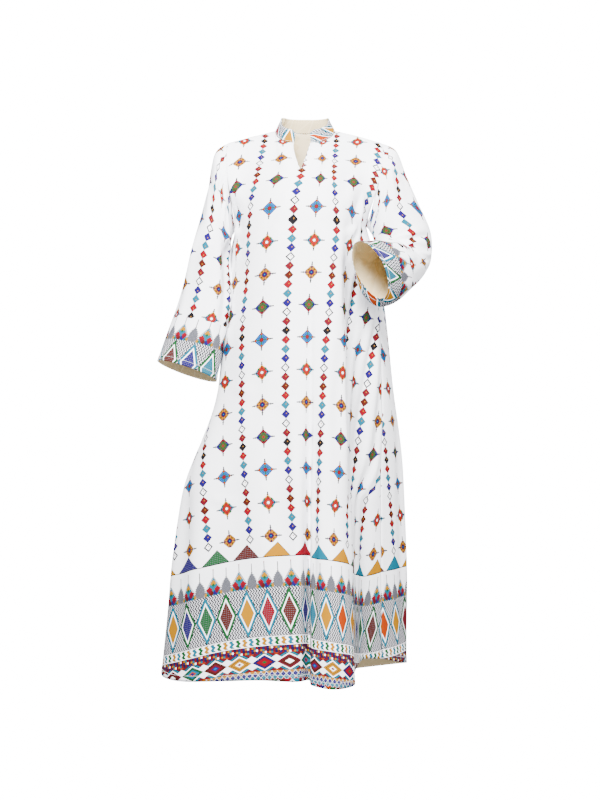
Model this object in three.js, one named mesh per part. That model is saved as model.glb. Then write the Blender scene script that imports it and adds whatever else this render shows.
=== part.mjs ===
// Kaftan: a loose mid-calf dress of printed white cotton, in the form it takes when it is worn.
// Front and back panels hang from the shoulders and flare to a wide hem. The right sleeve hangs
// straight, the left one is bent at the elbow, and a low stand collar is open over a front slit.
//
// Units are millimetres with +Z up. The origin is at the base of the neck, level with the
// shoulders. The wearer faces -Y, so the wearer's left is +X.

import * as THREE from 'three';

// ---------------------------------------------------------------- driving dimensions

const clothWall = 1.6; // thickness of every wall
const seamGap = 0.4; // space between two pieces at a seam

const shoulder = { halfWidth: 193, pointZ: -17, seamY: 6, slopeCurve: 1.2, mitre: 1.15 };
const neck = { centreX: 4, halfWidth: 68, frontReach: 51, backReach: 44, sideZ: 14, frontZ: -23, backZ: 14 };
const neckShare = 0.32; // part of the half panel's width that the neckline takes
const slit = { depthShare: 0.52, rows: 4, halfGap: 20, roundness: 2.4, lean: -10, spread: 60 };
const yoke = { neckFullness: 0.66, neckFade: 0.6, widening: 1.8, sinking: 1.15, rounding: 1.1 };
const collar = { height: 32, tipShare: 0.78, inwardLean: 16, frontEasing: 0.6, rows: 3 };
const armhole = { underarmZ: -225, frontBulge: 58, backBulge: 52 };
const armholeMitreShape = { topOutward: 0.05, underarmOutward: 0.21, underarmLength: 0.7, curve: 3 };

const yokeRows = 10; // rows of cells from the shoulder to the underarm
const skirtRows = 19; // rows of cells from the underarm to the hem
const frontCellsPerLine = 3;
const backCellsPerLine = 3;
const sleeveCells = { right: 14, left: 22 };
const sleeveEaseShare = 0.3; // part of a sleeve's length over which the armhole's shape fades

// Heights at which the plan of the body is given.
const planHeights = [armhole.underarmZ, -345, -650, -880, -1335];

// Lines that run down the cloth from the underarm to the hem, in order round the body from the
// wearer's right seam. plan holds x, y at each of planHeights and hemZ the height of the hem.
const frontLines = [
  { name: 'right seam', hemZ: -1311, plan: [[-172, 8], [-184, 4], [-219, -8], [-301, -8], [-354, 10]] },
  { name: 'right turn', hemZ: -1318, plan: [[-158, -52], [-165, -57], [-205, -72], [-286, -76], [-344, -64]] },
  { name: 'right front', hemZ: -1315, plan: [[-124, -105], [-131, -115], [-165, -133], [-232, -144], [-293, -146]] },
  { name: 'right chest', hemZ: -1304, plan: [[-78, -139], [-83, -151], [-108, -171], [-152, -186], [-204, -204]] },
  { name: 'mid right', hemZ: -1295, plan: [[-38, -151], [-41, -164], [-53, -189], [-77, -213], [-108, -244]] },
  { name: 'centre front', hemZ: -1294, plan: [[-5, -154], [-4, -167], [-4, -197], [-14, -228], [-22, -268]] },
  { name: 'flute valley', hemZ: -1298, plan: [[18, -153], [15, -166], [13, -188], [11, -198], [9, -224]] },
  { name: 'flute rise', hemZ: -1304, plan: [[34, -151], [28, -168], [20, -196], [17, -218], [15, -254]] },
  { name: 'flute crest', hemZ: -1308, plan: [[58, -145], [55, -166], [55, -203], [60, -239], [63, -286]] },
  { name: 'flute edge', hemZ: -1307, plan: [[84, -131], [85, -153], [90, -184], [100, -206], [113, -238]] },
  { name: 'fold back', hemZ: -1295, plan: [[100, -117], [95, -126], [94, -142], [102, -150], [117, -168]] },
  { name: 'side valley', hemZ: -1278, plan: [[116, -99], [116, -97], [121, -84], [131, -70], [142, -52]] },
  { name: 'left turn', hemZ: -1280, plan: [[135, -66], [146, -64], [164, -53], [165, -45], [170, -28]] },
];
const backLines = [
  { name: 'left seam', hemZ: -1284, plan: [[149, -8], [176, -22], [190, -27], [187, -22], [191, -10]] },
  { name: 'left back turn', hemZ: -1301, plan: [[151, 28], [186, 25], [218, 29], [228, 31], [236, 42]] },
  { name: 'left corner', hemZ: -1313, plan: [[136, 70], [172, 74], [221, 85], [244, 90], [259, 104]] },
  { name: 'back left', hemZ: -1334, plan: [[102, 101], [125, 113], [174, 146], [200, 166], [218, 196]] },
  { name: 'back left valley', hemZ: -1348, plan: [[52, 119], [66, 130], [88, 157], [103, 178], [114, 208]] },
  { name: 'centre back', hemZ: -1358, plan: [[-7, 124], [-5, 137], [2, 173], [6, 207], [10, 252]] },
  { name: 'back right valley', hemZ: -1355, plan: [[-64, 118], [-72, 129], [-93, 153], [-114, 176], [-128, 212]] },
  { name: 'back right', hemZ: -1341, plan: [[-118, 98], [-131, 110], [-168, 139], [-208, 168], [-246, 204]] },
  { name: 'right back turn', hemZ: -1322, plan: [[-162, 58], [-193, 62], [-214, 68], [-277, 83], [-332, 108]] },
];
const bodyLines = [...frontLines, ...backLines];
const lineNumber = (name) => bodyLines.findIndex((line) => line.name === name);
const centreFront = lineNumber('centre front');
const leftSeam = lineNumber('left seam');
const centreBack = lineNumber('centre back');

// Sections along each sleeve, from the armhole to the cuff. outer points from the centre to the
// side that lies on top of the shoulder, and front to the side that faces forward.
const rightSleeve = [
  { name: 'armhole', centre: [-182, 5, -121], outer: [-10, 1, 104], front: [0, -58, 0] },
  { name: 'cap', centre: [-198, 3, -142], outer: [-24, 1, 97], front: [0, -64, 0] },
  { name: 'below cap', centre: [-208, 1, -185], outer: [-29, 2, 62], front: [0, -72, 0] },
  { name: 'armpit', centre: [-221, -2, -234], outer: [-37, 2, 28], front: [0, -80, 0] },
  { name: 'upper arm', centre: [-235, -10, -292], outer: [-43, 2, 12], front: [0, -82, 0] },
  { name: 'elbow', centre: [-246, -24, -404], outer: [-60, 2, 1], front: [0, -72, 0] },
  { name: 'forearm', centre: [-268, -42, -505], outer: [-72, 4, 6], front: [0, -59, 3] },
  { name: 'cuff', centre: [-286, -52, -579], outer: [-72, 5, 24], front: [0, -52, 11] },
];
const leftSleeve = [
  { name: 'armhole', centre: [171, -1, -120], outer: [22, 7, 104], front: [0, -58, 0] },
  { name: 'cap', centre: [191, 0, -133], outer: [35, 3, 96], front: [0, -63, 0] },
  { name: 'below cap', centre: [205, 2, -167], outer: [46, 2, 68], front: [0, -64, 0] },
  { name: 'armpit', centre: [221, 4, -202], outer: [56, 4, 42], front: [2, -64, 0] },
  { name: 'upper arm', centre: [241, 4, -250], outer: [68, 8, 13], front: [4, -62, 0] },
  { name: 'elbow', centre: [250, -8, -285], outer: [59, 24, -17], front: [12, -58, 0] },
  { name: 'below elbow', centre: [245, -36, -302], outer: [42, 26, -41], front: [24, -50, 2] },
  { name: 'forearm', centre: [226, -74, -322], outer: [23, 20, -60], front: [35, -38, 2] },
  { name: 'near wrist', centre: [201, -116, -342], outer: [12, 9, -72], front: [42, -27, 0] },
  { name: 'pouch', centre: [170, -160, -351], outer: [9, 5, -78], front: [49, -19, -2] },
  { name: 'cuff', centre: [152, -196, -345], outer: [30, 5, -66], front: [30, -22, 8] },
];

// ---------------------------------------------------------------- small helpers

const mix = (a, b, share) => a + (b - a) * share;

// Cubic from one value to the next, with the slopes that it has at its two ends.
function cubic(from, fromSlope, to, toSlope, share) {
  const rise = 3 * share ** 2 - 2 * share ** 3;
  return mix(from, to, rise) + fromSlope * share * (1 - share) ** 2 - toSlope * share ** 2 * (1 - share);
}

// Value at a place in a column of numbers that is given at stations, with level ends beyond them.
function smoothAt(stations, values, place) {
  const last = stations.length - 1;
  const along = (place - stations[0]) / (stations[last] - stations[0]);
  if (along <= 0) return values[0];
  if (along >= 1) return values[last];
  let i = 0;
  while ((place - stations[i + 1]) * (stations[last] - stations[0]) >= 0) i += 1;
  const slope = (k) => {
    const before = Math.max(k - 1, 0);
    const after = Math.min(k + 1, last);
    return (values[after] - values[before]) / (stations[after] - stations[before]);
  };
  const span = stations[i + 1] - stations[i];
  return cubic(values[i], slope(i) * span, values[i + 1], slope(i + 1) * span, (place - stations[i]) / span);
}

// ---------------------------------------------------------------- the body's surface

// Closed curve round the body at one height.
function bodyRing(z) {
  const points = bodyLines.map((line) => {
    const x = smoothAt(planHeights, line.plan.map((place) => place[0]), z);
    const y = smoothAt(planHeights, line.plan.map((place) => place[1]), z);
    return new THREE.Vector3(x, y, z);
  });
  return new THREE.CatmullRomCurve3(points, true, 'centripetal');
}

// Height of the hem at a place, which counts lines round the body and may lie between two.
function hemHeight(place) {
  const low = Math.floor(place);
  const [before, from, to, after] = [-1, 0, 1, 2].map((step) => bodyLines.at((low + step) % bodyLines.length).hemZ);
  return cubic(from, (to - before) / 2, to, (after - from) / 2, place - low);
}

// Point on the skirt. drop is 0 at the underarm and 1 at the hem.
function skirtPoint(place, drop) {
  const z = mix(armhole.underarmZ, hemHeight(place), drop);
  return bodyRing(z).getPoint((place / bodyLines.length) % 1);
}

// Share of the way from the panel's middle to its seam, by length round the underarm ring.
function widthShares({ from, middle, to, cells }) {
  const ring = bodyRing(armhole.underarmZ);
  const places = Array.from({ length: cells + 1 }, (_, i) => mix(from, to, i / cells));
  const points = places.map((place) => ring.getPoint((place % bodyLines.length) / bodyLines.length));
  const run = [0];
  for (let i = 1; i < points.length; i += 1) run.push(run[i - 1] + points[i].distanceTo(points[i - 1]));
  const middleRun = run[places.findIndex((place) => Math.abs(place - middle) < 1e-6)];
  const shares = run.map((length) => {
    const reach = length < middleRun ? middleRun : run[run.length - 1] - middleRun;
    return (length - middleRun) / reach;
  });
  return { places, shares };
}

// The share nearest the side of the neck becomes the corner between neckline and shoulder.
function neckCorners(shares) {
  const nearest = (target) => shares.reduce((a, b) => (Math.abs(b - target) < Math.abs(a - target) ? b : a));
  return { low: nearest(-neckShare), high: nearest(neckShare) };
}

// Top edge of a panel: shoulder seam outside the neck's corners and neckline between them.
// across is 1 where shares rise towards the wearer's left, and -1 where they fall.
function topEdge(share, corners, { reach, middleZ, across }) {
  const side = (Math.sign(share) || 1) * across;
  const corner = Math.abs(share < 0 ? corners.low : corners.high);
  const neckSide = neck.centreX + side * neck.halfWidth;
  if (Math.abs(share) >= corner) {
    const run = (Math.abs(share) - corner) / (1 - corner);
    const z = mix(neck.sideZ, shoulder.pointZ, run ** shoulder.slopeCurve);
    return new THREE.Vector3(mix(neckSide, side * shoulder.halfWidth, run), shoulder.seamY, z);
  }
  const turn = (Math.abs(share) / corner) * (Math.PI / 2);
  const x = neck.centreX + side * neck.halfWidth * Math.sin(turn);
  const z = neck.sideZ + (middleZ - neck.sideZ) * Math.cos(turn);
  return new THREE.Vector3(x, shoulder.seamY + reach * Math.cos(turn), z);
}

// Line that the top of a panel would take if no neck were cut out of it.
function uncutTop(share, { reach, across }) {
  const side = (Math.sign(share) || 1) * across;
  const towardsNeck = (1 - share ** 2) ** 3;
  return new THREE.Vector3(
    mix(neck.centreX, side * shoulder.halfWidth, Math.abs(share)),
    shoulder.seamY + yoke.neckFullness * reach * towardsNeck,
    mix(neck.sideZ, shoulder.pointZ, Math.abs(share) ** shoulder.slopeCurve),
  );
}

// Point between the shoulder, where drop is 0, and the underarm, where it is 1. The neckline's
// own shape fades out below it.
function yokePoint(share, drop, corners, under, options) {
  const uncut = uncutTop(share, options);
  const cut = topEdge(share, corners, options).sub(uncut);
  const outward = Math.sin((Math.PI / 2) * drop ** yoke.rounding);
  const x = mix(uncut.x, under.x, drop ** yoke.widening);
  const y = mix(uncut.y, under.y, outward) + options.bulge * Math.abs(share) ** 4 * Math.sin(Math.PI * drop);
  const point = new THREE.Vector3(x, y, mix(uncut.z, under.z, drop ** yoke.sinking));
  return point.addScaledVector(cut, Math.max(0, 1 - drop / yoke.neckFade) ** 2);
}

// Drops of the yoke's rows. One of them lies at the bottom of the slit.
function yokeDrops() {
  const drops = [];
  for (let row = 0; row <= yokeRows; row += 1) {
    const below = (row - slit.rows) / (yokeRows - slit.rows);
    drops.push(row < slit.rows ? (row / slit.rows) * slit.depthShare : mix(slit.depthShare, 1, below));
  }
  return drops;
}

// Half the width of the open slit at one drop.
const slitHalfGap = (drop) => slit.halfGap * Math.max(0, 1 - (drop / slit.depthShare) ** slit.roundness);

// Rows of points on one panel, from the top edge to the hem.
function panelRows(options) {
  const { places, shares } = widthShares(options);
  const corners = neckCorners(shares);
  const rows = yokeDrops().map((drop) => places.map((place, i) => {
    const point = yokePoint(shares[i], drop, corners, skirtPoint(place, 0), options);
    if (!options.open) return point;
    const fromMiddle = point.x - neck.centreX;
    const side = Math.sign(shares[i]);
    point.x += side * slitHalfGap(drop) * Math.exp(-((fromMiddle / slit.spread) ** 2));
    point.x += slit.lean * (1 - drop) * (1 + 3 * drop) * (1 - Math.abs(shares[i])) ** 3;
    return point;
  }));
  for (let row = 1; row <= skirtRows; row += 1) {
    rows.push(places.map((place) => skirtPoint(place, row / skirtRows)));
  }
  return { rows, shares, corners };
}

// ---------------------------------------------------------------- walls from surfaces

// Direction into the wall at an armhole, shared by the panel and the sleeve. It turns from
// straight down at the shoulder to almost straight up at the underarm, where the sleeve's cloth
// hangs close beside the panel's.
function armholeMitre(side, drop, forward) {
  const turn = Math.PI * drop;
  const shape = armholeMitreShape;
  const towardsUnderarm = drop ** shape.curve;
  const sideways = side * mix(shape.topOutward, shape.underarmOutward, towardsUnderarm);
  const outward = new THREE.Vector3(sideways, forward * Math.sin(turn), Math.cos(turn)).normalize();
  return outward.multiplyScalar(-clothWall * mix(1, shape.underarmLength, towardsUnderarm));
}

// Direction into the wall at a side seam, square to the ring round the body.
function seamMitre(place, point) {
  const share = place / bodyLines.length;
  const step = 0.002;
  const ring = bodyRing(point.z);
  const along = ring.getPoint((share + step) % 1).sub(ring.getPoint((share - step + 1) % 1)).normalize();
  return new THREE.Vector3(-along.y, along.x, 0).multiplyScalar(clothWall);
}

// Moves an edge point towards its neighbour inside the piece.
function trimTowards(point, neighbour) {
  const step = neighbour.clone().sub(point).setLength(seamGap / 2);
  point.add(step);
}

// Inner side of a sheet of quads. inward gives the way into the wall at chosen points, and
// elsewhere it is against the mean normal of the quads round the point.
function innerSide(points, quads, inward) {
  const normals = points.map(() => new THREE.Vector3());
  for (const quad of quads) {
    const [a, b, c, d] = quad.map((index) => points[index]);
    const normal = new THREE.Vector3().crossVectors(c.clone().sub(a), d.clone().sub(b));
    for (const index of quad) normals[index].add(normal);
  }
  return points.map((point, index) => {
    if (inward.has(index)) return point.clone().add(inward.get(index));
    return point.clone().addScaledVector(normals[index].normalize(), -clothWall);
  });
}

// Closed wall between the outer points and the inner ones, under the given quads.
function closedWall(outer, inner, quads) {
  const used = [...new Set(quads.flat())].sort((a, b) => a - b);
  const number = new Map(used.map((index, i) => [index, i]));
  const position = [outer, inner].flatMap((side) => used.flatMap((index) => side[index].toArray()));
  const offset = used.length;
  const triangles = [];
  const edges = new Map();
  for (const quad of quads) {
    const [a, b, c, d] = quad.map((index) => number.get(index));
    triangles.push(a, b, c, a, c, d);
    triangles.push(offset + a, offset + c, offset + b, offset + a, offset + d, offset + c);
    for (const [from, to] of [[a, b], [b, c], [c, d], [d, a]]) {
      const back = `${to} ${from}`;
      if (edges.has(back)) edges.delete(back);
      else edges.set(`${from} ${to}`, [from, to]);
    }
  }
  for (const [from, to] of edges.values()) {
    const rising = [from, offset + from, to, to, offset + from, offset + to];
    const falling = [from, offset + from, offset + to, from, offset + to, to];
    triangles.push(...(from < to ? rising : falling));
  }
  const geometry = new THREE.BufferGeometry();
  geometry.setAttribute('position', new THREE.Float32BufferAttribute(position, 3));
  geometry.setIndex(triangles);
  geometry.computeVertexNormals();
  return geometry;
}

const wallFromSheet = (points, quads, inward) => closedWall(points, innerSide(points, quads, inward), quads);

// ---------------------------------------------------------------- pieces

const printedCotton = new THREE.MeshStandardMaterial({ color: 0xf1f1f2, roughness: 0.8, metalness: 0 });

function clothPiece(name, geometry) {
  const piece = new THREE.Mesh(geometry, printedCotton);
  piece.name = name;
  return piece;
}

// A panel is one cut of cloth, made as two solids that meet at the underarm's height, the bodice
// and the skirt. It keeps copies of its untrimmed edge points, which the sleeves and collar start
// from.
function makePanel(name, options) {
  const { rows, shares, corners } = panelRows(options);
  const lastRow = rows.length - 1;
  const lastColumn = shares.length - 1;
  const middleColumn = shares.indexOf(0);
  const edgePoints = rows.map((row) => row.map((point) => point.clone()));
  const forward = Math.sign(options.bulge);
  const drops = yokeDrops();
  const index = (row, column) => row * (lastColumn + 1) + column;
  const inward = new Map();

  for (const column of [0, lastColumn]) {
    const inside = column === 0 ? 1 : lastColumn - 1;
    const side = Math.sign(rows[yokeRows][column].x);
    const place = column === 0 ? options.from : options.to % bodyLines.length;
    for (let row = 0; row <= lastRow; row += 1) {
      const onArmhole = row <= yokeRows;
      const mitre = onArmhole ? armholeMitre(side, drops[row], forward) : seamMitre(place, rows[row][column]);
      inward.set(index(row, column), mitre);
      trimTowards(rows[row][column], edgePoints[row][inside]);
    }
  }
  shares.forEach((share, column) => {
    const onShoulder = share <= corners.low || share >= corners.high;
    if (!onShoulder) return;
    trimTowards(rows[0][column], edgePoints[1][column]);
    if (Math.abs(share) < 1) inward.set(index(0, column), new THREE.Vector3(0, 0, -clothWall * shoulder.mitre));
  });

  const points = rows.flat();
  const quads = { bodice: [], skirt: [] };
  const secondEdge = new Map();
  const slitEdges = { low: [], high: [] };
  if (options.open) {
    for (let row = 0; row < slit.rows; row += 1) {
      const low = points[index(row, middleColumn)];
      const high = low.clone();
      low.x -= slitHalfGap(drops[row]);
      high.x += slitHalfGap(drops[row]);
      secondEdge.set(index(row, middleColumn), points.length);
      slitEdges.low.push(low.clone());
      slitEdges.high.push(high.clone());
      points.push(high);
    }
  }
  for (let row = 0; row < lastRow; row += 1) {
    for (let column = 0; column < lastColumn; column += 1) {
      const corner = [index(row, column), index(row + 1, column), index(row + 1, column + 1), index(row, column + 1)];
      const highSide = column >= middleColumn;
      const quad = corner.map((at) => (highSide && secondEdge.has(at) ? secondEdge.get(at) : at));
      quads[row < yokeRows ? 'bodice' : 'skirt'].push(quad);
    }
  }
  const inner = innerSide(points, [...quads.bodice, ...quads.skirt], inward);
  const meshes = Object.entries(quads).map(([section, own]) => {
    const drop = section === 'skirt' ? seamGap : 0;
    const [outerSide, innerOwn] = [points, inner].map((side) => {
      const copy = side.map((point) => point.clone());
      for (let column = 0; column <= lastColumn; column += 1) copy[index(yokeRows, column)].z -= drop;
      return copy;
    });
    return clothPiece(`${name}_${section}`, closedWall(outerSide, innerOwn, own));
  });
  const neckRow = edgePoints[0].filter((_, column) => shares[column] >= corners.low && shares[column] <= corners.high);
  return { meshes, edgePoints, neckRow, slitEdges };
}

const front = makePanel('front', {
  from: 0,
  middle: centreFront,
  to: leftSeam,
  cells: frontLines.length * frontCellsPerLine,
  reach: -neck.frontReach,
  middleZ: neck.frontZ,
  across: 1,
  bulge: -armhole.frontBulge,
  open: true,
});
const back = makePanel('back', {
  from: leftSeam,
  middle: centreBack,
  to: bodyLines.length,
  cells: backLines.length * backCellsPerLine,
  reach: neck.backReach,
  middleZ: neck.backZ,
  across: -1,
  bulge: armhole.backBulge,
  open: false,
});

// Centre, outer and front vectors of a sleeve at one share of its length.
function sleeveSection(table, share) {
  const stations = table.map((_, i) => i / (table.length - 1));
  const read = (column) => new THREE.Vector3(...[0, 1, 2].map(
    (axis) => smoothAt(stations, table.map((row) => row[column][axis]), share),
  ));
  return { centre: read('centre'), outer: read('outer'), front: read('front') };
}

function sleeveRing(section, turn) {
  return section.centre.clone()
    .addScaledVector(section.outer, Math.cos(turn))
    .addScaledVector(section.front, Math.sin(turn));
}

// The sleeve starts on the armhole's own edge and eases into its oval sections.
function makeSleeve(name, table, cells, frontEdge, backEdge) {
  const drops = yokeDrops();
  const side = Math.sign(table[0].centre[0]);
  const loop = [];
  drops.forEach((drop, row) => loop.push({ point: frontEdge[row], turn: Math.PI * drop, drop, forward: -1 }));
  for (let row = yokeRows - 1; row > 0; row -= 1) {
    loop.push({ point: backEdge[row], turn: -Math.PI * drops[row], drop: drops[row], forward: 1 });
  }
  const start = sleeveSection(table, 0);
  const rings = [];
  for (let ring = 0; ring <= cells; ring += 1) {
    const share = ring / cells;
    const section = sleeveSection(table, share);
    const ease = Math.max(0, 1 - share / sleeveEaseShare) ** 2;
    rings.push(loop.map((place) => {
      const fromOval = place.point.clone().sub(sleeveRing(start, place.turn));
      return sleeveRing(section, place.turn).addScaledVector(fromOval, ease);
    }));
  }
  const count = loop.length;
  const inward = new Map();
  loop.forEach((place, i) => {
    inward.set(i, armholeMitre(side, place.drop, place.forward));
    trimTowards(rings[0][i], rings[1][i].clone());
  });
  const quads = [];
  for (let ring = 0; ring < cells; ring += 1) {
    for (let i = 0; i < count; i += 1) {
      const next = (i + 1) % count;
      const corner = [ring * count + i, ring * count + next, (ring + 1) * count + next, (ring + 1) * count + i];
      quads.push(side < 0 ? corner.reverse() : corner);
    }
  }
  return clothPiece(name, wallFromSheet(rings.flat(), quads, inward));
}

const columnOf = (panel, column) => panel.edgePoints.map((row) => row.at(column));
const sleeveRight = makeSleeve('sleeve_right', rightSleeve, sleeveCells.right, columnOf(front, 0), columnOf(back, -1));
const sleeveLeft = makeSleeve('sleeve_left', leftSleeve, sleeveCells.left, columnOf(front, -1), columnOf(back, 0));

// The collar stands on the neckline from one edge of the slit, round the back, to the other.
function makeCollar() {
  const neckMiddle = front.neckRow.length - 1 - front.neckRow.findLastIndex((point) => point.x < 0);
  const frontLow = front.neckRow.filter((point) => point.x < front.slitEdges.low[0].x);
  const frontHigh = front.neckRow.slice(-neckMiddle).filter((point) => point.x > front.slitEdges.high[0].x);
  const base = [
    front.slitEdges.low[0],
    ...frontLow.reverse(),
    ...back.neckRow.slice(1, -1).reverse(),
    ...frontHigh.reverse(),
    front.slitEdges.high[0],
  ];
  const towardsNeck = base.map((point) => (
    new THREE.Vector3(neck.centreX - point.x, shoulder.seamY - point.y, 0).normalize()
  ));
  const inward = new Map(towardsNeck.map((way, i) => [i, way.clone().multiplyScalar(clothWall)]));
  const rows = [];
  for (let row = 0; row <= collar.rows; row += 1) {
    const rise = row / collar.rows;
    rows.push(base.map((point, i) => {
      const frontness = THREE.MathUtils.smoothstep(shoulder.seamY - point.y, 0, neck.frontReach);
      const atTip = i === 0 || i === base.length - 1;
      const height = collar.height * (atTip ? collar.tipShare : 1);
      const lean = collar.inwardLean * (1 - collar.frontEasing * frontness) * rise;
      return point.clone()
        .addScaledVector(towardsNeck[i], lean + seamGap / 2)
        .add(new THREE.Vector3(0, 0, seamGap + height * rise));
    }));
  }
  const count = base.length;
  const quads = [];
  for (let row = 0; row < collar.rows; row += 1) {
    for (let i = 0; i + 1 < count; i += 1) {
      quads.push([row * count + i, (row + 1) * count + i, (row + 1) * count + i + 1, row * count + i + 1]);
    }
  }
  return clothPiece('collar', wallFromSheet(rows.flat(), quads, inward));
}

const kaftan = new THREE.Group();
kaftan.name = 'kaftan';
kaftan.add(...front.meshes, ...back.meshes, sleeveRight, sleeveLeft, makeCollar());

export default kaftan;
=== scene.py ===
import math

import bpy
import numpy as np
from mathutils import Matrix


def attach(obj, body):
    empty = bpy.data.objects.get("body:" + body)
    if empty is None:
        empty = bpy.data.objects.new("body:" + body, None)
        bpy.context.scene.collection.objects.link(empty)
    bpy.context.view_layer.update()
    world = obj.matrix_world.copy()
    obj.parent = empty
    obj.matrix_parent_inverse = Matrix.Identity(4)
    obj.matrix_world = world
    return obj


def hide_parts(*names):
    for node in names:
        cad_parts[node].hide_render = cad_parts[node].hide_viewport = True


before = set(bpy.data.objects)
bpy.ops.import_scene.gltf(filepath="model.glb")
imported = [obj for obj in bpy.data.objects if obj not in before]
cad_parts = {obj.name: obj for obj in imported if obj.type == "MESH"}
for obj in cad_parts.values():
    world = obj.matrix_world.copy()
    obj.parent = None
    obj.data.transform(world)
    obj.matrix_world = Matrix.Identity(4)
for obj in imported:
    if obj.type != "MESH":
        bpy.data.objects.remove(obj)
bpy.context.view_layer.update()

# Lengths are millimetres until a mesh is made. The wearer faces -Y and the wearer's left is +X.

# metres: the camera's distance and place, and half the height that it sees at that distance
view = {"distance": 3.75, "sideways": -0.012, "height": -0.649, "halfHeight": 0.984}

cameraData = bpy.data.cameras.new("camera")
cameraData.sensor_fit = "VERTICAL"
cameraData.lens = cameraData.sensor_height / (2 * view["halfHeight"] / view["distance"])
camera = bpy.data.objects.new("camera", cameraData)
camera.location = (view["sideways"], -view["distance"], view["height"])
camera.rotation_euler = (math.radians(90), 0, 0)
bpy.context.collection.objects.link(camera)
bpy.context.scene.camera = camera

# The body's surface: the yoke above the underarm, then the trunk and skirt below it.
shoulder = {"halfWidth": 193, "pointZ": -17, "seamY": 6, "slopeCurve": 1.2}
neck = {"centreX": 4, "halfWidth": 68, "frontReach": 51, "backReach": 44, "sideZ": 14, "frontZ": -23,
        "backZ": 14}
slit = {"depthShare": 0.52, "halfGap": 20, "roundness": 2.4, "lean": -10, "spread": 60}
yoke = {"neckShare": 0.32, "neckFullness": 0.66, "neckFade": 0.6, "widening": 1.8, "sinking": 1.15,
        "rounding": 1.1, "printDepth": (0.15, 0.8)}
armhole = {"underarmZ": -225, "frontBulge": 58, "backBulge": 52}
planHeights = [-225, -345, -650, -880, -1335]

# Lines down the cloth from the underarm to the hem, round the body from the wearer's right seam:
# name, height of the hem, x and y at each of planHeights, how far the print droops there.
bodyLines = [
    ("right seam", -1311, [(-172, 8), (-184, 4), (-219, -8), (-301, -8), (-354, 10)], [14, 18, 44, 64, 98]),
    ("right turn", -1318, [(-158, -52), (-165, -57), (-205, -72), (-286, -76), (-344, -64)],
     [10, 14, 34, 52, 84]),
    ("right front", -1315, [(-124, -105), (-131, -115), (-165, -133), (-232, -144), (-293, -146)],
     [6, 8, 22, 34, 60]),
    ("right chest", -1304, [(-78, -139), (-83, -151), (-108, -171), (-152, -186), (-204, -204)],
     [2, 3, 8, 14, 30]),
    ("mid right", -1295, [(-38, -151), (-41, -164), (-53, -189), (-77, -213), (-108, -244)],
     [0, 0, 2, 4, 10]),
    ("centre front", -1294, [(-5, -154), (-4, -167), (-4, -197), (-14, -228), (-22, -268)], [0, 0, 0, 0, 0]),
    ("flute valley", -1298, [(18, -153), (15, -166), (13, -188), (11, -198), (9, -224)], [0, 0, 1, 3, 8]),
    ("flute rise", -1304, [(34, -151), (28, -168), (20, -196), (17, -218), (15, -254)], [0, 0, 2, 6, 14]),
    ("flute crest", -1308, [(58, -145), (55, -166), (55, -203), (60, -239), (63, -286)], [0, 1, 4, 8, 18]),
    ("flute edge", -1307, [(84, -131), (85, -153), (90, -184), (100, -206), (113, -238)], [2, 4, 10, 20, 34]),
    ("fold back", -1295, [(100, -117), (95, -126), (94, -142), (102, -150), (117, -168)], [4, 8, 20, 38, 60]),
    ("side valley", -1278, [(116, -99), (116, -97), (121, -84), (131, -70), (142, -52)], [8, 14, 34, 58, 80]),
    ("left turn", -1280, [(135, -66), (146, -64), (164, -53), (165, -45), (170, -28)], [12, 18, 42, 58, 80]),
    ("left seam", -1284, [(149, -8), (176, -22), (190, -27), (187, -22), (191, -10)], [16, 22, 46, 54, 78]),
    ("left back turn", -1301, [(151, 28), (186, 25), (218, 29), (228, 31), (236, 42)], [18, 24, 44, 52, 74]),
    ("left corner", -1313, [(136, 70), (172, 74), (221, 85), (244, 90), (259, 104)], [20, 24, 40, 50, 70]),
    ("back left", -1334, [(102, 101), (125, 113), (174, 146), (200, 166), (218, 196)], [20, 24, 36, 46, 64]),
    ("back left valley", -1348, [(52, 119), (66, 130), (88, 157), (103, 178), (114, 208)],
     [20, 24, 34, 44, 60]),
    ("centre back", -1358, [(-7, 124), (-5, 137), (2, 173), (6, 207), (10, 252)], [20, 24, 34, 42, 58]),
    ("back right valley", -1355, [(-64, 118), (-72, 129), (-93, 153), (-114, 176), (-128, 212)],
     [20, 24, 34, 44, 60]),
    ("back right", -1341, [(-118, 98), (-131, 110), (-168, 139), (-208, 168), (-246, 204)],
     [20, 24, 36, 48, 66]),
    ("right back turn", -1322, [(-162, 58), (-193, 62), (-214, 68), (-277, 83), (-332, 108)],
     [17, 22, 42, 58, 84]),
]
lineCount = len(bodyLines)
linePlan = np.array([line[2] for line in bodyLines], float)
lineHem = np.array([line[1] for line in bodyLines], float)
lineDroop = np.array([line[3] for line in bodyLines], float)
centreFront, leftSeam, centreBack = 5, 13, 18


def mix(a, b, share):
    return a + (b - a) * share


def cubic(start, startSlope, end, endSlope, share):
    rise = 3 * share ** 2 - 2 * share ** 3
    return mix(start, end, rise) + startSlope * share * (1 - share) ** 2 - endSlope * share ** 2 * (1 - share)


def smoothStep(low, high, values):
    share = np.clip((np.asarray(values, float) - low) / (high - low), 0, 1)
    return share * share * (3 - 2 * share)


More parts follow.
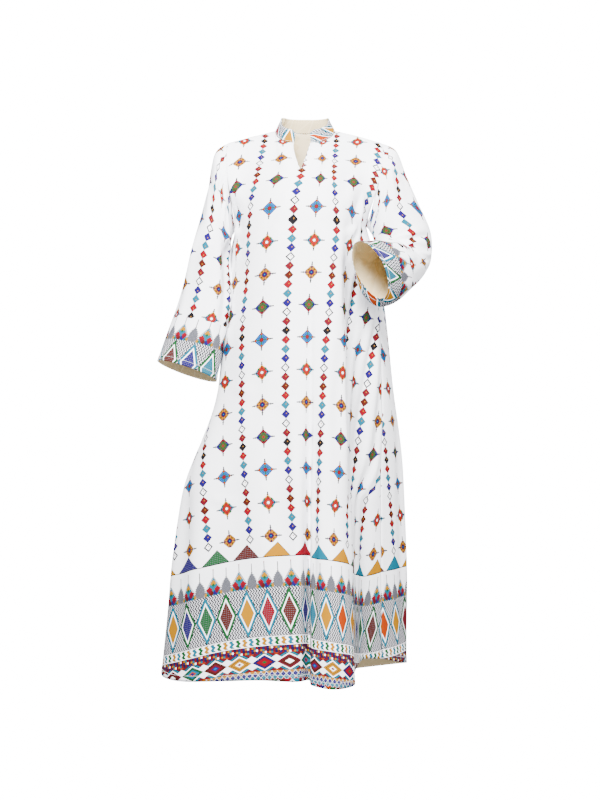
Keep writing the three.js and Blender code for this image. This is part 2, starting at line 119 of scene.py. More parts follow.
def smoothAt(stations, values, places):
    # smooth curve through a column of numbers or rows of numbers, level beyond its ends
    stations, values, places = np.array(stations, float), np.array(values, float), np.array(places, float)
    if stations[0] > stations[-1]:
        stations, places = -stations, -places
    shape = (-1,) + (1,) * (values.ndim - 1)
    slopes = np.empty_like(values)
    slopes[1:-1] = (values[2:] - values[:-2]) / (stations[2:] - stations[:-2]).reshape(shape)
    slopes[0] = (values[1] - values[0]) / (stations[1] - stations[0])
    slopes[-1] = (values[-1] - values[-2]) / (stations[-1] - stations[-2])
    flat = np.clip(places.ravel(), stations[0], stations[-1])
    i = np.clip(np.searchsorted(stations, flat, side="right") - 1, 0, len(stations) - 2)
    span = stations[i + 1] - stations[i]
    share = ((flat - stations[i]) / span).reshape(shape)
    span = span.reshape(shape)
    found = cubic(values[i], slopes[i] * span, values[i + 1], slopes[i + 1] * span, share)
    return found.reshape(places.shape + values.shape[1:])


def aroundBody(column, places):
    # smooth cyclic reading of one number per line
    low = np.floor(places).astype(int)
    before, start, end, after = (
        np.take_along_axis(column, ((low + step) % lineCount)[..., None], -1)[..., 0] for step in (-1, 0, 1, 2))
    return cubic(start, (end - before) / 2, end, (after - start) / 2, places - low)


def bodyPoint(places, heights):
    # centripetal Catmull-Rom ring through the lines at each height
    plan = smoothAt(planHeights, linePlan.transpose(1, 0, 2), heights)
    low = np.floor(places).astype(int)
    share = (places - low)[..., None]
    column = [((low + step) % lineCount)[..., None, None].repeat(2, -1) for step in (-1, 0, 1, 2)]
    corner = [np.take_along_axis(plan, each, -2)[..., 0, :] for each in column]
    gap = [np.sqrt(np.linalg.norm(corner[k + 1] - corner[k], axis=-1))[..., None] for k in range(3)]
    p0, p1, p2, p3 = corner
    t1 = ((p1 - p0) / gap[0] - (p2 - p0) / (gap[0] + gap[1]) + (p2 - p1) / gap[1]) * gap[1]
    t2 = ((p2 - p1) / gap[1] - (p3 - p1) / (gap[1] + gap[2]) + (p3 - p2) / gap[2]) * gap[1]
    xy = p1 + t1 * share + (3 * (p2 - p1) - 2 * t1 - t2) * share ** 2 + (2 * (p1 - p2) + t1 + t2) * share ** 3
    return np.concatenate([xy, heights[..., None]], -1)


def underarmRing(places):
    return bodyPoint(places, np.full(places.shape, float(armhole["underarmZ"])))


def hemHeight(places):
    return aroundBody(np.broadcast_to(lineHem, places.shape + (lineCount,)), places)


def droopAt(places, heights):
    return aroundBody(smoothAt(planHeights, lineDroop.T, heights), places)


def widthShares(panel, cells):
    # share of the way from the panel's middle to its seam, by length round the underarm ring
    places = np.linspace(panel["start"], panel["end"], cells + 1)
    steps = np.linalg.norm(np.diff(underarmRing(places), axis=0), axis=1)
    run = np.concatenate([[0], np.cumsum(steps)])
    middle = int(np.argmin(abs(places - panel["middle"])))
    reach = np.where(run < run[middle], run[middle], run[-1] - run[middle])
    return places, (run - run[middle]) / reach


def panelSheet(panel):
    # base form of one panel as rows of points from the top edge to the hem
    coarse = widthShares(panel, (panel["end"] - panel["start"]) * 3)[1]
    cornerLow = abs(coarse[np.argmin(abs(coarse + yoke["neckShare"]))])
    cornerHigh = abs(coarse[np.argmin(abs(coarse - yoke["neckShare"]))])
    places, shares = widthShares(panel, panel["cells"])
    size = abs(shares)
    corner = np.where(shares < 0, cornerLow, cornerHigh)
    side = np.where(shares < 0, -1.0, 1.0) * panel["across"]

    slope = size ** shoulder["slopeCurve"]
    fullness = yoke["neckFullness"] * panel["reach"] * (1 - size ** 2) ** 3
    uncut = np.stack([mix(neck["centreX"], side * shoulder["halfWidth"], size),
                      shoulder["seamY"] + fullness, mix(neck["sideZ"], shoulder["pointZ"], slope)], -1)
    run = np.clip((size - corner) / (1 - corner), 0, 1)
    turn = np.clip(size / corner, 0, 1) * math.pi / 2
    neckSide = neck["centreX"] + side * neck["halfWidth"]
    seam = np.stack([mix(neckSide, side * shoulder["halfWidth"], run),
                     np.full(run.shape, float(shoulder["seamY"])),
                     mix(neck["sideZ"], shoulder["pointZ"], run ** shoulder["slopeCurve"])], -1)
    edge = np.stack([neck["centreX"] + side * neck["halfWidth"] * np.sin(turn),
                     shoulder["seamY"] + panel["reach"] * np.cos(turn),
                     neck["sideZ"] + (panel["middleZ"] - neck["sideZ"]) * np.cos(turn)], -1)
    top = np.where((size >= corner)[:, None], seam, edge)

    slitRows, yokeRows = panel["slitRows"], panel["yokeRows"]
    drops = np.concatenate([np.linspace(0, slit["depthShare"], slitRows + 1),
                            np.linspace(slit["depthShare"], 1, yokeRows - slitRows + 1)[1:]])
    under = underarmRing(places)
    drop = drops[:, None]
    outward = np.sin(math.pi / 2 * drop ** yoke["rounding"])
    x = mix(uncut[:, 0], under[:, 0], drop ** yoke["widening"])
    y = mix(uncut[:, 1], under[:, 1], outward) + panel["bulge"] * size ** 4 * np.sin(math.pi * drop)
    z = mix(uncut[:, 2], under[:, 2], drop ** yoke["sinking"])
    fade = np.maximum(0, 1 - drop / yoke["neckFade"]) ** 2
    rows = np.stack([x, y, z], -1) + (top - uncut) * fade[..., None]
    halfGap = slit["halfGap"] * np.maximum(0, 1 - (drops / slit["depthShare"]) ** slit["roundness"])
    if panel["open"]:
        fromMiddle = rows[..., 0] - neck["centreX"]
        rows[..., 0] += np.sign(shares) * halfGap[:, None] * np.exp(-(fromMiddle / slit["spread"]) ** 2)
        rows[..., 0] += slit["lean"] * (1 - drop) * (1 + 3 * drop) * (1 - size) ** 3

    skirt = np.linspace(0, 1, panel["skirtRows"] + 1)[1:, None]
    grid = np.broadcast_to(places, (panel["skirtRows"], len(places)))
    skirtPoints = bodyPoint(grid, mix(armhole["underarmZ"], hemHeight(places), skirt))
    points = np.concatenate([rows, skirtPoints])
    return {"points": points, "places": places, "shares": shares, "drops": drops, "halfGap": halfGap,
            "corners": (cornerLow, cornerHigh)}


def rowLengths(points, depthWeight=1.0):
    # running length along each row, with depth counted by its weight
    step = np.diff(points, axis=1)
    step[..., 1] *= depthWeight
    length = np.linalg.norm(step, axis=-1)
    return np.concatenate([np.zeros((len(points), 1)), np.cumsum(length, axis=1)], axis=1)


def columnLengths(points):
    # running length down each column
    return rowLengths(points.transpose(1, 0, 2)).T


def readAlong(run, values, at):
    # points or directions at given lengths along a line
    return np.stack([np.interp(at, run, values[:, k]) for k in range(3)], -1)


def crossing(values, row, low, high, target):
    # fractional column where a row of x passes the target, between two columns
    ahead = np.nonzero((row[low:high] <= target) & (row[low + 1:high + 1] > target))[0]
    if not len(ahead):
        return values[low] if target < row[low] else values[high]
    k = low + ahead[0]
    return mix(values[k], values[k + 1], (target - row[k]) / (row[k + 1] - row[k]))


def columnOf(panel, place):
    return int(round((place - panel["start"]) / (panel["end"] - panel["start"]) * panel["cells"]))


# The lozenge chains left of, at and right of the front's centre: the body lines that each runs
# between, then its x at each height.
chainHeights = [-17, -68, -116, -149, -199, -272, -330, -391, -443, -532, -579, -686, -742, -796, -834, -926,
                -987, -1100, -1300]
frontChains = [
    (0, 4.9, [-95, -109, -120, -128, -132, -137, -140, -144, -148, -151, -151, -150, -147, -144, -141, -132,
              -126, -122, -112]),
    (2.5, 6.5, [0, -4, -10, -19, -26, -31, -35.5, -40, -42.5, -45, -45.6, -44.5, -42, -40, -37.5, -31, -27,
                -20, -10]),
    (5.6, 8.6, [92.5, 92, 90, 87.5, 80, 72, 65.5, 60, 56, 46, 43.5, 37.5, 35, 32.5, 31, 28, 26.5, 26, 27]),
]
seamChain = {"heights": [-440, -913], "x": [180, 105], "lines": (10.3, 13), "fade": 120,
             "leastScale": 0.8, "mostScale": 1.25}
sideFlattening = {"depthShare": 0.6, "from": 225, "to": 450}
chainPitch = 105
# how far the print sits from the plain measure above the underarm
yokePrint = {"down": [-20, 50, 115, 190, 268], "shift": [-19, -10, 4, 5, 0]}


def rowDepth(sheet, panel, i):
    # share of the body's depth that counts in the print's measure, growing down the yoke
    return float(smoothStep(*yoke["printDepth"], sheet["drops"][i])) if i < panel["yokeRows"] else 1.0


def frontAcross(sheet, panel):
    # cloth coordinate across the front, from the chain in the middle
    points = sheet["points"]
    across = np.zeros(points.shape[:2])
    scaleHeld = None
    for i, row in enumerate(points):
        depth = rowDepth(sheet, panel, i)
        run = rowLengths(row[None], depth)[0]
        height = row[columnOf(panel, panel["middle"]), 2]
        left, middle, right = (
            crossing(run, row[:, 0], columnOf(panel, first), columnOf(panel, last),
                     float(smoothAt(chainHeights, table, height))) for first, last, table in frontChains)
        value = np.where(run < middle, (run - middle) * chainPitch / (middle - left), run - middle)
        # the skirt's print lies flatter towards the wearer's right seam
        sideShare = float(smoothStep(sideFlattening["from"], sideFlattening["to"], -height))
        flat = rowLengths(row[None], mix(depth, sideFlattening["depthShare"], sideShare))[0]
        value = np.where(run < left, flat - np.interp(left, run, flat) - chainPitch, value)
        # depth counts for more over the fold between the middle and right chains, until they lie a pitch apart
        low, high = 0.0, 12.0
        for _ in range(24):
            weight = (low + high) / 2
            bent = rowLengths(row[None], max(depth, 0.05) * weight)[0]
            spans = np.interp([middle, right], run, bent)
            if spans[1] - spans[0] < chainPitch:
                low = weight
            else:
                high = weight
        between = (run >= middle) & (run <= right)
        value[between] = (bent[between] - spans[0]) * (chainPitch / (spans[1] - spans[0]))
        beyond = run > right
        scale = 1.0
        first, last = seamChain["heights"]
        if i >= panel["yokeRows"] and row[0, 2] < first:
            limit = [columnOf(panel, place) for place in seamChain["lines"]]
            target = float(np.interp(-height, [-first, -last], seamChain["x"]))
            seam = crossing(run, row[:, 0], *limit, target)
            if height >= last or scaleHeld is None:
                scaleHeld = 2 * chainPitch / (seam - right)
            scale = float(np.clip(scaleHeld, seamChain["leastScale"], seamChain["mostScale"]))
            scale = mix(1.0, scale, float(smoothStep(-first, -first + seamChain["fade"], -height)))
        value[beyond] = chainPitch + (run[beyond] - right) * scale
        across[i] = value
    return across


def backAcross(sheet, panel):
    # cloth coordinate across the back, from a chain just beside the centre
    across = np.zeros(sheet["points"].shape[:2])
    for i, row in enumerate(sheet["points"]):
        run = rowLengths(row[None], rowDepth(sheet, panel, i))[0]
        across[i] = run - run[columnOf(panel, panel["middle"])] - panel["chainShift"]
    return across


def downCloth(sheet, panel):
    # cloth coordinate down the panel: depth below the origin less the print's droop, and the cloth's
    # own length above the underarm
    points = sheet["points"]
    yokeRows = panel["yokeRows"]
    grid = np.broadcast_to(sheet["places"] % lineCount, points.shape[:2])
    down = -points[..., 2] - droopAt(grid, points[..., 2])
    fromTop = columnLengths(points[:yokeRows + 1])
    down[:yokeRows] = down[yokeRows] - (fromTop[-1] - fromTop[:-1])
    if panel["open"]:
        down[:yokeRows] += smoothAt(yokePrint["down"], yokePrint["shift"], down[:yokeRows])
    return down


def dipAt(distance, depth, width):
    return -depth * np.exp(-(distance / width) ** 2)


# A crease's cross-section: height, place and width of its ridge and of the hollows at its sides, in
# shares of the crease's own height and width.
creaseShape = [(1, 0, 1), (-0.42, 1.8, 1.2), (-0.3, -2.0, 1.4)]


def creaseRelief(creases, u, v):
    # soft ridges and troughs on the cloth: ends (u, v) and (u, v), width, height, sideways bow
    relief = np.zeros(u.shape)
    for u0, v0, u1, v1, width, height, bow in creases:
        length = math.hypot(u1 - u0, v1 - v0)
        du, dv = (u1 - u0) / length, (v1 - v0) / length
        along = ((u - u0) * du + (v - v0) * dv) / length
        off = (v - v0) * du - (u - u0) * dv - bow * 4 * along * (1 - along)
        wide = width * (0.75 + 0.5 * np.clip(along, 0, 1))
        shape = sum(rise * np.exp(-((off - at * wide) / (spread * wide)) ** 2) for rise, at, spread in creaseShape)
        relief += height * shape * smoothStep(0, 0.3, along) * smoothStep(0, 0.4, 1 - along)
    return relief


def slowWaves(u, v, seed, size, height):
    # uneven slackness of hanging cotton
    rng = np.random.default_rng(seed)
    relief = np.zeros(u.shape)
    for _ in range(9):
        angle = rng.normal(0, 0.5)
        pitch = size * rng.uniform(0.6, 1.9)
        phase = rng.uniform(0, 2 * math.pi)
        relief += np.sin(2 * math.pi * (u * math.cos(angle) + v * math.sin(angle) * 0.6) / pitch + phase)
    return relief * height / 3


def gridNormals(points, outside=1):
    down = np.gradient(points, axis=0)
    across = np.gradient(points, axis=1)
    normal = np.cross(down, across) * outside
    return normal / np.maximum(np.linalg.norm(normal, axis=-1, keepdims=True), 1e-9)


def makeMesh(name, vertices, faces, uv=None):
    # vertices and uv in millimetres, faces as lists of corners
    mesh = bpy.data.meshes.new(name)
    mesh.from_pydata((np.asarray(vertices) / 1000).tolist(), [], faces)
    mesh.shade_smooth()
    if uv is not None:
        layer = mesh.uv_layers.new(name="cloth")
        corners = np.empty(len(mesh.loops), dtype=np.int32)
        mesh.loops.foreach_get("vertex_index", corners)
        layer.data.foreach_set("uv", (np.asarray(uv)[corners] / 1000).ravel())
    mesh.validate()
    piece = bpy.data.objects.new(name, mesh)
    bpy.context.collection.objects.link(piece)
    return piece


def gridFaces(rows, columns):
    r, c = np.meshgrid(np.arange(rows - 1), np.arange(columns - 1), indexing="ij")
    first = r * columns + c
    return np.stack([first, first + columns, first + columns + 1, first + 1], -1).reshape(-1, 4)


def dress(piece, rightSide, wrongSide, thickness, nodes):
    # materials, thickness and place in the part of one cut of cloth; the wrong side's material is painted shade and
    # a painted warm reflection
    piece.data.materials.append(rightSide)
    piece.data.materials.append(wrongSide)
    shell = piece.modifiers.new("cloth thickness", "SOLIDIFY")
    shell.thickness = thickness / 1000
    shell.offset = -1
    shell.material_offset = 1
    shell.material_offset_rim = 0
    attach(piece, "root")
    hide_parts(*nodes)


# The print, as maths on the cloth's own coordinates in millimetres.
def tone(red, green, blue):
    # linear colour from the usual 0 to 255 scale
    parts = [part / 255 for part in (red, green, blue)]
    parts = [((part + 0.055) / 1.055) ** 2.4 if part > 0.04045 else part / 12.92 for part in parts]
    return (*parts, 1.0)


shades = {
    "white": tone(243, 243, 247), "black": tone(19, 17, 21), "grey": tone(92, 93, 100), "navy": tone(20, 16, 53),
    "teal": tone(2, 84, 104), "blue": tone(25, 14, 80), "sky": tone(1, 76, 136), "green": tone(17, 68, 32),
    "crimson": tone(84, 12, 24), "red": tone(106, 1, 19), "brown": tone(64, 20, 13),
    "orange": tone(136, 45, 1), "yellow": tone(144, 96, 1), "gold": tone(134, 84, 1),
    "weaveLight": tone(200, 199, 205), "weaveDark": tone(24, 24, 28),
}

# start and pitch of each motif's repeat, across the cloth unless it says down
repeats = {
    "lozengesDown": (268, 21.7), "starsDown": (272, 76.3), "triangles": (-40, 76), "pyramids": (-9, 64),
    "firs": (23, 64), "diamonds": (-17, 51.3), "chevrons": (0, 15.8), "checks": (0, 5.3),
    "checksDown": (1211.8, 5.3), "nested": (-24, 60), "nestedGaps": (6, 60), "pointed": (0, 13.4), "hem": (9, 31),
}
# where each band of the border starts and ends down the cloth
bands = {"diamonds": (1076, 1187), "chevrons": (1186, 1209), "checks": (1209, 1225), "nested": (1225, 1265),
         "pointed": (1265, 1285), "hem": (1285, 1400)}


class Term:
    # a number inside a shader tree, so that its maths reads as maths
    def __init__(self, tree, socket):
        self.tree, self.socket = tree, socket

    def make(self, operation, *values):
        return Term(self.tree, addNode(self.tree, "Math", enumerate(values), operation=operation).outputs[0])

    def __rsub__(self, other):
        return self.make("SUBTRACT", other, self)

    def wrap(self, half):
        return self.make("WRAP", self, half, -half)

    def within(self, low, high):
        return self.above(low) * self.below(high)

    def zigzag(self, pitch, height):
        return self.make("PINGPONG", self, pitch / 2) * (2 * height / pitch)


for word, operation in (("__add__", "ADD"), ("__radd__", "ADD"), ("__sub__", "SUBTRACT"), ("__mul__", "MULTIPLY"),
                        ("__rmul__", "MULTIPLY"), ("__truediv__", "DIVIDE"), ("below", "LESS_THAN"),
                        ("above", "GREATER_THAN"), ("least", "MINIMUM"), ("most", "MAXIMUM")):
    setattr(Term, word, lambda self, other, operation=operation: self.make(operation, self, other))
for word, operation in (("__abs__", "ABSOLUTE"), ("floor", "FLOOR"), ("fract", "FRACT"), ("sine", "SINE")):
    setattr(Term, word, lambda self, operation=operation: self.make(operation, self))


def addNode(tree, kind, inputs=(), **settings):
    # a shader node with its settings, then its inputs: numbers, colours, sockets or Terms
    node = tree.nodes.new("ShaderNode" + kind)
    for name, value in settings.items():
        setattr(node, name, value)
    for slot, value in dict(inputs).items():
        value = value.socket if isinstance(value, Term) else value
        if isinstance(value, bpy.types.NodeSocket):
            tree.links.new(value, node.inputs[slot])
        else:
            node.inputs[slot].default_value = value
    return node


def printed(colour, *layers):
    # layers of ink on what lies below, each a shade's name or a colour and the mask where it shows
    for layer, mask in layers:
        lower, upper = (shades[value] if isinstance(value, str) else value for value in (colour, layer))
        colour = addNode(mask.tree, "Mix", {0: mask, 6: lower, 7: upper}, data_type="RGBA").outputs[2]
    return colour


def steps(term, stops):
    # stepped colours, each a start on a scale of 0 to 1 and a shade's name
    node = addNode(term.tree, "ValToRGB", {0: term})
    node.color_ramp.interpolation = "CONSTANT"
    stopsThere = node.color_ramp.elements
    for k, (start, name) in enumerate(stops):
        stop = stopsThere[k] if k < 2 else stopsThere.new(start)
        stop.position, stop.color = start, shades[name]
    return node.outputs[0]


def inTurn(number, names):
    # the shade whose turn it is, for a whole number
    names = names.split()
    share = ((number + 0.5) / len(names)).fract()
    return steps(share, [(i / len(names), name) for i, name in enumerate(names)])


def cells(term, start, pitch):
    # distance from the middle of each repeat, and the repeat's number
    place = (term - start) / pitch + 0.5
    number = place.floor()
    return (place - number - 0.5) * pitch, number


def stepped(term, size):
    # distance from nought in whole stitches
    return abs(((term / size).floor() + 0.5) * size)


def dots(u, v, pitch, radius):
    x, y = u.wrap(pitch / 2), v.wrap(pitch / 2)
    return (x * x + y * y).below(radius ** 2)


def lozengeChains(colour, u, v):
    x = cells(u, 0, chainPitch)[0]
    y, number = cells(v, *repeats["lozengesDown"])
    size = abs(x) / 10.3 + abs(y) / 10.85
    fill = inTurn(number, "teal blue white crimson brown red teal blue white crimson black red")
    hollow = (number / 6 + 0.75).fract().below(0.15)
    speck = ((x - 1.2) * (x - 1.2) + (y + 1.5) * (y + 1.5)).below(2.2)
    return printed(colour, ("black", size.below(1.05)), (fill, size.below(0.94)),
                   ("black", size.within(0.64, 1.05) * hollow), ("gold", speck))


def crossStars(colour, u, v):
    # small cross-stitch stars midway between the chains: red, yellow, green and light blue in turn
    x = cells(u, chainPitch / 2, chainPitch)[0]
    y, number = cells(v, *repeats["starsDown"])
    a, b = stepped(x, 1.5), stepped(y, 1.5)
    reach, narrow = a.most(b), a.least(b)
    size = reach + narrow * 0.86
    turned = ((number / 4 + 0.125).fract() * 4).floor()
    upright, corner, axis = b.above(a + 0.5), abs(a - b).below(3.2), narrow.below(1.6)
    colour = printed(colour, ("black", narrow.below(1.3) * reach.within(15, 25)),
                     ("black", narrow.below(2.6) * reach.within(18, 20)))
    # edge, bands from the middle outwards with their starts, and details on top
    stars = [
        (18.5, [(0, "white"), (3.4, "red"), (7, "orange"), (8.5, "red"), (12, "crimson"), (13, "teal")],
         [("yellow", upright * size.above(13)), ("orange", upright * size.within(12.5, 15)),
          ("green", corner * size.above(14)), ("black", axis * size.within(12, 15))]),
        (17.5, [(0, "sky"), (2.6, "navy"), (6.5, "crimson"), (8.5, "yellow"), (13, "gold")],
         [("black", corner * size.within(10, 14)), ("navy", axis * size.above(10)), ("brown", size.above(16))]),
        (18, [(0, "red"), (3.6, "green"), (6.5, "brown"), (8.5, "green"), (12, "blue")],
         [("crimson", upright * size.above(12)), ("crimson", corner * size.above(14.5)),
          ("black", axis * size.within(9.5, 12))]),
        (18.5, [(0, "red"), (3.6, "brown"), (7, "sky"), (15.5, "blue")],
         [("black", corner * size.within(8.5, 11)), ("green", axis * size.within(5, 12)),
          ("brown", narrow.below(3.4) * reach.above(11.5)), ("orange", axis * reach.within(12, 14.5)),
          ("white", corner * size.above(17))]),
    ]
    for k, (edge, bands, details) in enumerate(stars):
        fill = steps((size / edge).least(0.999), [(start / edge, name) for start, name in bands])
        fill = printed(fill, *details)
        colour = printed(colour, (fill, size.below(edge) * turned.within(k - 0.5, k + 0.5)))
    return colour


def borderTriangles(colour, u, v, fieldEnd):
    # only where the field stops above them
    x, number = cells(u, *repeats["triangles"])
    rise = (v - 973) / 33
    shown = fieldEnd.below(1000)
    lean = abs(x + rise * 4 - 2)
    dotted = Term(u.tree, inTurn(number, "black black black black white white black black white white white"))
    fill = inTurn(number, "yellow red teal yellow green brown teal yellow blue green brown")
    fill = printed(fill, ("grey", dots(u + v, v, 4.4, 0.9) * dotted.above(0.4)))
    return printed(colour, ("black", lean.below(rise * 34) * rise.within(0, 1) * shown),
                   (fill, lean.below(rise * 34 - 1.5) * rise.within(0.03, 0.97) * shown),
                   ("black", v.within(1005.6, 1007.2) * shown))


def borderPyramids(colour, u, v):
    # stepped pyramids on sticks, in turn with plain grey fir shapes
    x = cells(u, *repeats["pyramids"])[0]
    size = abs(x)
    rise = (v - 1034) / 42
    inside = rise.within(0, 1)
    bead = (v / 2.6).fract().above(0.3)
    colour = printed(colour, ("black", size.below(1) * v.within(1017, 1040)),
                     ("red", size.below(1.3) * v.within(1015, 1018.5)),
                     ("black", size.below(rise * 26 + 2.6) * inside * bead),
                     ("white", size.below(rise * 26 - 0.6) * inside),
                     ("teal", stepped(x, 2.1).below(rise * 24) * inside))
    # patches: shade, distance from the stick, height down the cloth, reach
    for name, middle, down, reach in (("yellow", 0, 1048, 8), ("green", 0, 1052, 4), ("brown", 5, 1070, 7.5),
                                      ("red", 10, 1062, 8), ("crimson", 9, 1067, 5), ("yellow", 19, 1071.5, 5.4),
                                      ("green", 15, 1072.5, 3)):
        patch = (abs(size - middle) + abs(v - down)).below(reach) * inside
        colour = printed(colour, (name, patch))
        if name == "brown":
            colour = printed(colour, ("blue", patch * x.above(0)))
    fir = cells(u, *repeats["firs"])[0]
    height = (v - 1038) / 38
    leafReach = (height * 2.5).sine() * 11.5 + (v / 4.6).fract() * 3.6 - 1.2
    leaf = abs(fir).below(leafReach) * height.within(0, 1)
    needles = ((fir + v) / 3.2).fract().below(0.5) * (v / 2.6).fract().above(0.4)
    return printed(colour, ("grey", leaf), ("black", leaf * needles),
                   ("black", abs(fir).below(1) * v.within(1018, 1042)))


def greyBand(colour, u, v, band):
    # herringbone with tall diamonds
    woven = ((u + v.zigzag(10.5, 5.25)) / 6.8).fract().below(0.62)
    x, number = cells(u, *repeats["diamonds"])
    size = abs(x) / 25.2 + abs(v - 1131.5) / 55
    edge = inTurn(number, "green teal green teal teal teal green teal green teal green teal teal")
    fill = inTurn(number, "brown blue teal yellow orange yellow crimson yellow blue green brown yellow red")
    speckled = inTurn(number, "white white white black black black black black white white white black white")
    speck = dots(u + v, v, 4.6, 0.95) * size.below(0.57)
    return printed(colour, ("weaveLight", band), ("weaveDark", band * woven), ("black", size.below(1.02) * band),
                   (edge, size.below(0.985) * band), ("white", size.below(0.78)), ("black", size.below(0.65)),
                   (fill, size.below(0.62)), ("grey", speck * Term(u.tree, speckled).above(0.4)))


def chevronBand(colour, u, v, band):
    x, number = cells(u + (v - 1187).zigzag(9.6, 5.2), *repeats["chevrons"])
    fill = inTurn(number, "green yellow teal green yellow teal")
    rail = v.within(1186, 1187).most(v.within(1208, 1209))
    return printed(colour, ("white", band), ("black", abs(x).below(4.6) * v.within(1188.6, 1206.4)),
                   (fill, abs(x).below(3.7) * v.within(1189.4, 1205.6)), ("black", rail))


def smallChecks(colour, u, v, band):
    x, i = cells(u, *repeats["checks"])
    y, j = cells(v, *repeats["checksDown"])
    fill = inTurn(i * 2 + j * 3, "red blue yellow crimson teal blue red yellow navy white crimson")
    return printed(colour, ("black", band), (fill, abs(x).below(2.2) * abs(y).below(2.2) * band))


def nestedLozenges(colour, u, v, band):
    x, number = cells(u, *repeats["nested"])
    size = abs(x) / 29 + abs(v - 1245) / 16
    clear = (abs(cells(u, *repeats["nestedGaps"])[0]) / 27.5 + abs(v - 1245) / 14.6).above(1.1)
    rings = [(1.2, 1.32, "black"), (1.32, 1.56, "teal"), (1.56, 1.66, "black"), (1.66, 1.96, "crimson"),
             (1.96, 2.04, "black"), (2.04, 2.6, "orange")]
    return printed(colour, ("white", band),
                   *[(name, size.within(start, stop) * band * clear) for start, stop, name in rings],
                   ("black", size.below(1.02) * band),
                   (inTurn(number, "crimson green brown yellow blue"), size.below(0.94)),
                   ("black", size.below(0.74)),
                   (inTurn(number, "brown teal crimson yellow red"), size.below(0.66)),
                   (inTurn(number, "white orange blue white red"), size.below(0.36)),
                   (inTurn(number, "white blue sky crimson green"), size.below(0.2)))


def pointedChecks(colour, u, v, band):
    p, i = cells(u + v, *repeats["pointed"])
    q, j = cells(u - v, *repeats["pointed"])
    size = abs(p).most(abs(q))
    fill = inTurn(i * 3 + j * 5, "red green blue orange brown teal crimson yellow")
    return printed(colour, ("white", band), ("black", size.below(6.3) * band), (fill, size.below(5.7) * band),
                   ("grey", dots(p, q, 4.2, 0.9) * band * size.below(4.6)))


def hemTriangles(colour, u, v, band):
    x, number = cells(u, *repeats["hem"])
    rise = (v - 1286) / 17
    ground = inTurn((x.above(0) + number * 2 + 0.5).floor(), "crimson blue orange green brown red teal")
    fill = inTurn(number, "orange teal red green blue")
    return printed(colour, (ground, band), ("white", abs(x).below(rise * 17) * band),
                   ("black", abs(x).below(rise * 17 - 3) * band), (fill, abs(x).below(rise * 17 - 4.5) * band))


def newGroup(name, inputs, output, kind):
    # a node group of number inputs and one output
    group = bpy.data.node_groups.new(name, "ShaderNodeTree")
    for label in inputs:
        group.interface.new_socket(label, in_out="INPUT", socket_type="NodeSocketFloat")
    group.interface.new_socket(output, in_out="OUTPUT", socket_type=kind)
    entry, leave = group.nodes.new("NodeGroupInput"), group.nodes.new("NodeGroupOutput")
    return group, [Term(group, entry.outputs[label]) for label in inputs], leave


def buildPrint():
    inputs = ("Across", "Down", "Field Down", "Field End")
    group, (u, v, fieldDown, fieldEnd), leave = newGroup("geometric print", inputs, "Color", "NodeSocketColor")
    field = crossStars(lozengeChains("white", u, fieldDown), u, fieldDown)
    colour = borderTriangles(printed("white", (field, v.below(fieldEnd))), u, v, fieldEnd)
    colour = borderPyramids(colour, u, v)
    for layer, name in ((greyBand, "diamonds"), (chevronBand, "chevrons"), (smallChecks, "checks"),
                        (nestedLozenges, "nested"), (pointedChecks, "pointed"), (hemTriangles, "hem")):
        colour = layer(colour, u, v, v.within(*bands[name]))
    group.links.new(colour, leave.inputs[0])
    return group


def buildWeave():
    # fine plain weave and soft crumple of washed cotton, as one height
    group, (u, v), leave = newGroup("cotton weave", ("Across", "Down"), "Height", "NodeSocketFloat")
    turn = 2 * math.pi / weave["threadPitch"]
    threads = (u * turn).sine() * (v * turn).sine()
    place = addNode(group, "CombineXYZ", {0: u, 1: v * 0.6})
    crumple = addNode(group, "TexNoise", {"Scale": weave["crumpleScale"], "Detail": 4, "Roughness": 0.55,
                                          "Vector": place.outputs[0]})
    height = threads * weave["threadHeight"] + Term(group, crumple.outputs[0]) * weave["crumpleHeight"]
    group.links.new(height.socket, leave.inputs[0])
    return group


# threadPitch and both heights in millimetres, bumpDistance in metres
weave = {"threadPitch": 0.8, "threadHeight": 0.05, "crumpleScale": 0.045, "crumpleHeight": 1.3,
         "bumpStrength": 0.5, "bumpDistance": 0.0012}
cottonLook = {"roughness": 0.8, "specular": 0.05}
# the wrong side's warm beige is painted shade and a painted warm reflection inside the garment, not the cotton's
# own colour; a little of the print shows through it
wrongSidePaintedShadeLook = {"roughness": 0.88, "specular": 0.05, "shade": tone(222, 203, 160), "showThrough": 0.09}
printGroup, weaveGroup = buildPrint(), buildWeave()


def newMaterial(name, **values):
    # a material with the given sockets of its shader set
    material = bpy.data.materials.new(name)
    material.use_nodes = True
    shader = material.node_tree.nodes["Principled BSDF"]
    for label, value in values.items():
        shader.inputs[label.replace("_", " ")].default_value = value
    return material, material.node_tree, shader


def addBump(tree, shader, height, strength, distance):
    bump = addNode(tree, "Bump", {"Strength": strength, "Distance": distance, "Height": height})
    tree.links.new(bump.outputs[0], shader.inputs["Normal"])


